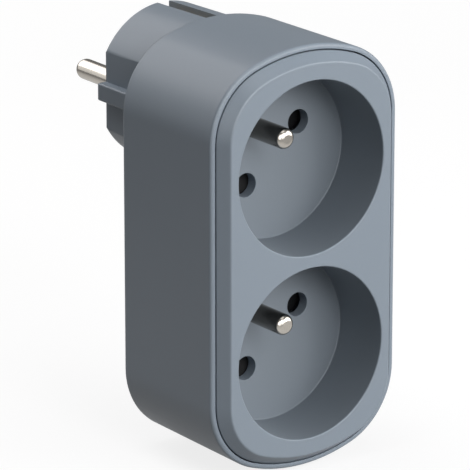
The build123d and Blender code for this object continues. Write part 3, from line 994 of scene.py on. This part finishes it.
@dataclass
class ShutterSpring:
    """A shutter's torsion spring: its leg stays with the adapter, its arm goes with the shutter."""

    level: str
    z: float
    leg_depth: float = 22.275
    coil_height: float = 1.125
    wire: float = 0.4

    def build(self) -> bpy.types.Object:
        """Builds the spring as its solid has it, merged into one closed mesh.

        Returns:
            The spring.
        """
        bm = bmesh.new()
        bm.from_mesh(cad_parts[f"shutter_spring_{self.level}"].data)
        bmesh.ops.scale(bm, vec=(1 / MM, 1 / MM, 1 / MM), verts=bm.verts)
        bmesh.ops.remove_doubles(bm, verts=bm.verts, dist=1e-3)
        spring = finished(bm, f"shutter_spring_{self.level}_wire")
        smooth(spring, degrees=50)
        return spring

    def dress(self, spring: bpy.types.Object, steel: bpy.types.Material) -> None:
        """Gives the spring its steel, hides its CAD node and bakes its place into its mesh.

        Args:
            spring: the spring.
            steel: its finish.
        """
        spring.data.materials.clear()
        spring.data.materials.append(steel)
        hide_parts(f"shutter_spring_{self.level}")
        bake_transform(spring)
        log.info("%s: %d faces", spring.name, len(spring.data.polygons))


@dataclass
class InnerParts:
    """The pieces behind the holes, whose solids already have their shape."""

    brass: tuple[str, ...] = (
        "live_bar", "neutral_bar", "earth_bar", "plug_earth_strap", "plug_earth_sleeve",
        "earth_rivet", "live_sleeve_upper", "live_sleeve_lower", "neutral_sleeve_upper",
        "neutral_sleeve_lower")
    shutters: tuple[str, ...] = ("shutter_upper", "shutter_lower")
    cups: tuple[str, ...] = ("shutter_plate_upper", "shutter_plate_lower")
    screws: tuple[str, ...] = ("housing_screws",)

    def dress(self) -> None:
        """Gives each CAD node its real finish."""
        for names, finish in ((self.brass, STRIP_BRASS), (self.shutters, SHUTTER_NYLON),
                              (self.cups, CUP_NYLON), (self.screws, ZINC_STEEL)):
            material = finish.material()
            for name in names:
                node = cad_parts[name]
                node.data.materials.clear()
                node.data.materials.append(material)
                log.info("%s: %s", name, finish.name)


# The studio


@dataclass(frozen=True)
class Lamp:
    """A soft round lamp that shines on the adapter: 0 degrees is in front of it, 90 on its right.

    One that is for reflections only shows in what is shiny and lights nothing else, as a white card
    beside the object does in a photographer's studio.
    """

    name: str
    azimuth: float
    elevation: float
    size: float
    watts: float
    tint: str = "#ffffff"
    reflection_only: bool = False
    distance: float = 1.0

    def build(self, target: Vector) -> None:
        """Hangs the lamp in its direction from what it shines on.

        Args:
            target: what it faces, in metres.
        """
        data = bpy.data.lights.new(self.name, "AREA")
        data.shape = "DISK"
        data.size = self.size
        data.energy = self.watts
        data.color = linear(self.tint)[:3]
        lamp = bpy.data.objects.new(self.name, data)
        turn, rise = math.radians(self.azimuth), math.radians(self.elevation)
        way = Vector((math.sin(turn) * math.cos(rise), -math.cos(turn) * math.cos(rise),
                      math.sin(rise)))
        lamp.location = target + way * self.distance
        lamp.rotation_euler = way.to_track_quat("Z", "Y").to_euler()
        lamp.visible_camera = False
        lamp.visible_diffuse = not self.reflection_only
        bpy.context.scene.collection.objects.link(lamp)
        log.info("lamp %s", self.name)


@dataclass
class Studio:
    """Floor, lamps, world and the camera of the photograph.

    The camera's place is given by the way it faces and by how far right, down and ahead of it the
    middle of the adapter's front lies. The floor's distances and size are in metres. The values
    named mirrored say how white the floor, its horizon and the sky are in what is shiny.
    """

    azimuth: float = -36.713
    elevation: float = 17.893
    lens: float = 328.83
    sensor: float = 36.0
    clipping: tuple[float, float] = (0.05, 20.0)
    right_mm: float = 16.938
    down_mm: float = 5.917
    forward_mm: float = 948.48
    floor_gap_mm: float = 0.6
    floor_size: float = 6.0
    floor_tone: str = "#707070"
    floor_white: float = 1.05
    shadow_share: float = 0.22
    shadow_reach: float = 0.3
    floor_fades_out: float = 0.9
    ambient: float = 0.04
    floor_mirrored: float = 0.52
    horizon_mirrored: float = 0.05
    mirrored_reach: float = 0.1
    horizon_start: float = 0.35
    sky_mirrored: float = 0.18
    lamps: tuple[Lamp, ...] = (
        Lamp("key", azimuth=14, elevation=12, size=0.8, watts=5.1),
        Lamp("right", azimuth=50, elevation=14, size=1.0, watts=7.0),
        Lamp("high", azimuth=-10, elevation=28, size=0.4, watts=2.5),
        Lamp("top", azimuth=0, elevation=72, size=0.6, watts=0.9),
        Lamp("left_top", azimuth=-110, elevation=72, size=0.6, watts=2.8),
        Lamp("rim", azimuth=-171, elevation=34, size=0.85, watts=3.2, tint="#fffcfd"),
        Lamp("back_card", azimuth=-140, elevation=22, size=1.0, watts=1.7, reflection_only=True),
        Lamp("front_card", azimuth=-42, elevation=14, size=0.9, watts=4.5, reflection_only=True),
    )

    def camera(self) -> None:
        """Puts the camera where the photograph was taken from."""
        turn, rise = math.radians(self.azimuth), math.radians(self.elevation)
        right = Vector((math.cos(turn), math.sin(turn), 0))
        forward = Vector((-math.sin(turn) * math.cos(rise), math.cos(turn) * math.cos(rise),
                          -math.sin(rise)))
        down = forward.cross(right)
        away = right * self.right_mm + down * self.down_mm + forward * self.forward_mm
        data = bpy.data.cameras.new("camera")
        data.lens, data.sensor_width = self.lens, self.sensor
        data.clip_start, data.clip_end = self.clipping
        camera = bpy.data.objects.new("camera", data)
        facing = Matrix((right, -down, -forward)).transposed().to_4x4()
        place = (Vector((0, FRONT_Y, BODY_Z)) - away) * MM
        camera.matrix_world = Matrix.Translation(place) @ facing
        bpy.context.scene.collection.objects.link(camera)
        bpy.context.scene.camera = camera

    def rays(self, tree: bpy.types.NodeTree) -> tuple[bpy.types.NodeSocket, bpy.types.NodeSocket]:
        """Tells the camera's rays and the mirrored ones from those that light the scene.

        Args:
            tree: the node tree that takes the nodes.

        Returns:
            A socket that is 1 for the camera's rays, straight or through glass, and one that is 1
            for mirrored rays.
        """
        path = add_node(tree, "ShaderNodeLightPath").outputs
        seen = calculate(tree, "MAXIMUM", path["Is Camera Ray"], path["Is Transmission Ray"])
        return seen, path["Is Glossy Ray"]

    def floor_material(self) -> bpy.types.Material:
        """Builds the floor's finish, which is white to the camera with a part of the shadow on it.

        That part fades out with the distance, so that the floor runs into the white surround. The
        light that the floor throws on the adapter is that of a plain grey one, and what is shiny
        mirrors a floor that is pale near the adapter and dark towards the horizon.

        Returns:
            The floor's material.
        """
        made = bpy.data.materials.new("studio_floor")
        made.use_nodes = True
        tree = made.node_tree
        tree.nodes.clear()
        seen, glossy = self.rays(tree)
        place = add_node(tree, "ShaderNodeTexCoord").outputs["Object"]
        away = add_node(tree, "ShaderNodeVectorMath", operation="LENGTH",
                        Vector=place).outputs["Value"]
        dusk = add_node(tree, "ShaderNodeMapRange", Value=away, From_Min=self.mirrored_reach,
                        From_Max=self.horizon_start, To_Min=self.floor_mirrored,
                        To_Max=self.horizon_mirrored).outputs[0]
        seen = calculate(tree, "MAXIMUM", seen, calculate(tree, "MULTIPLY", glossy, dusk))
        plain = add_node(tree, "ShaderNodeMapRange", Value=away, From_Min=self.shadow_reach,
                         From_Max=self.floor_fades_out, To_Min=1 - self.shadow_share,
                         To_Max=1.0).outputs[0]
        share = calculate(tree, "MULTIPLY", seen, plain)
        grey = add_node(tree, "ShaderNodeBsdfDiffuse", Color=linear(self.floor_tone)).outputs[0]
        pale = add_node(tree, "ShaderNodeBsdfDiffuse", Color=(1, 1, 1, 1)).outputs[0]
        ground = add_node(tree, "ShaderNodeMixShader", in0=seen, in1=grey, in2=pale).outputs[0]
        white = add_node(tree, "ShaderNodeEmission", Color=(1, 1, 1, 1),
                         Strength=self.floor_white).outputs[0]
        mixed = add_node(tree, "ShaderNodeMixShader", in0=share, in1=ground, in2=white).outputs[0]
        add_node(tree, "ShaderNodeOutputMaterial", Surface=mixed)
        return made

    def floor(self) -> None:
        """Lays the floor just below the adapter."""
        bm = bmesh.new()
        bmesh.ops.create_grid(bm, x_segments=1, y_segments=1, size=self.floor_size / 2)
        height = CAD_BOX[0].z - self.floor_gap_mm * MM
        bmesh.ops.translate(bm, verts=bm.verts, vec=(0, 0, height))
        mesh = bpy.data.meshes.new("floor")
        bm.to_mesh(mesh)
        bm.free()
        mesh.materials.append(self.floor_material())
        floor = bpy.data.objects.new("floor", mesh)
        bpy.context.scene.collection.objects.link(floor)

    def world(self) -> None:
        """Sets a dim surround that is white to the camera and a dim sky to what is shiny."""
        world = bpy.data.worlds.new("studio")
        world.use_nodes = True
        tree = world.node_tree
        tree.nodes.clear()
        seen, glossy = self.rays(tree)
        strength = add_node(tree, "ShaderNodeMapRange", Value=seen, To_Min=self.ambient,
                            To_Max=1.0).outputs[0]
        mirrored = calculate(tree, "MULTIPLY", glossy, self.sky_mirrored)
        back = add_node(tree, "ShaderNodeBackground", Color=(1, 1, 1, 1),
                        Strength=calculate(tree, "MAXIMUM", strength, mirrored)).outputs[0]
        add_node(tree, "ShaderNodeOutputWorld", Surface=back)
        bpy.context.scene.world = world

    def build(self) -> None:
        """Sets up the whole studio."""
        low, high = CAD_BOX
        for lamp in self.lamps:
            lamp.build((low + high) / 2)
        self.floor()
        self.world()
        self.camera()
        bpy.context.scene.view_settings.view_transform = "Standard"


def main() -> None:
    """Builds and dresses every piece, then sets up the studio."""
    logging.basicConfig(level=logging.INFO, format="%(message)s")
    plastic = HOUSING_ABS.material()
    nickel = PIN_NICKEL.material()
    cover, housing = FrontCover(), RearHousing()
    cover.dress(cover.build(), plastic, WELL_ABS.material())
    housing.dress(housing.build(), plastic)
    for side, x in (("left", -housing.pin_x), ("right", housing.pin_x)):
        pin = TurnedPin(f"plug_pin_{side}", x, 0.0)
        pin.dress(pin.build(), nickel, nickel)
    # The earth pins' sides take nickel drawn darker: painted shade for the well around them.
    tarnished = SHADE_PAINTED_NICKEL.material()
    for level, z in LEVELS.items():
        x, height = around(cover.earth_offset, cover.hole_turn + 90, z)
        pin = EarthPin(f"earth_pin_{level}", x, height)
        pin.dress(pin.build(), nickel, tarnished)
    steel = SPRING_WIRE.material()
    for level, z in LEVELS.items():
        spring = ShutterSpring(level, z)
        spring.dress(spring.build(), steel)
    InnerParts().dress()
    Studio().build()


if __name__ == "__main__":
    main()
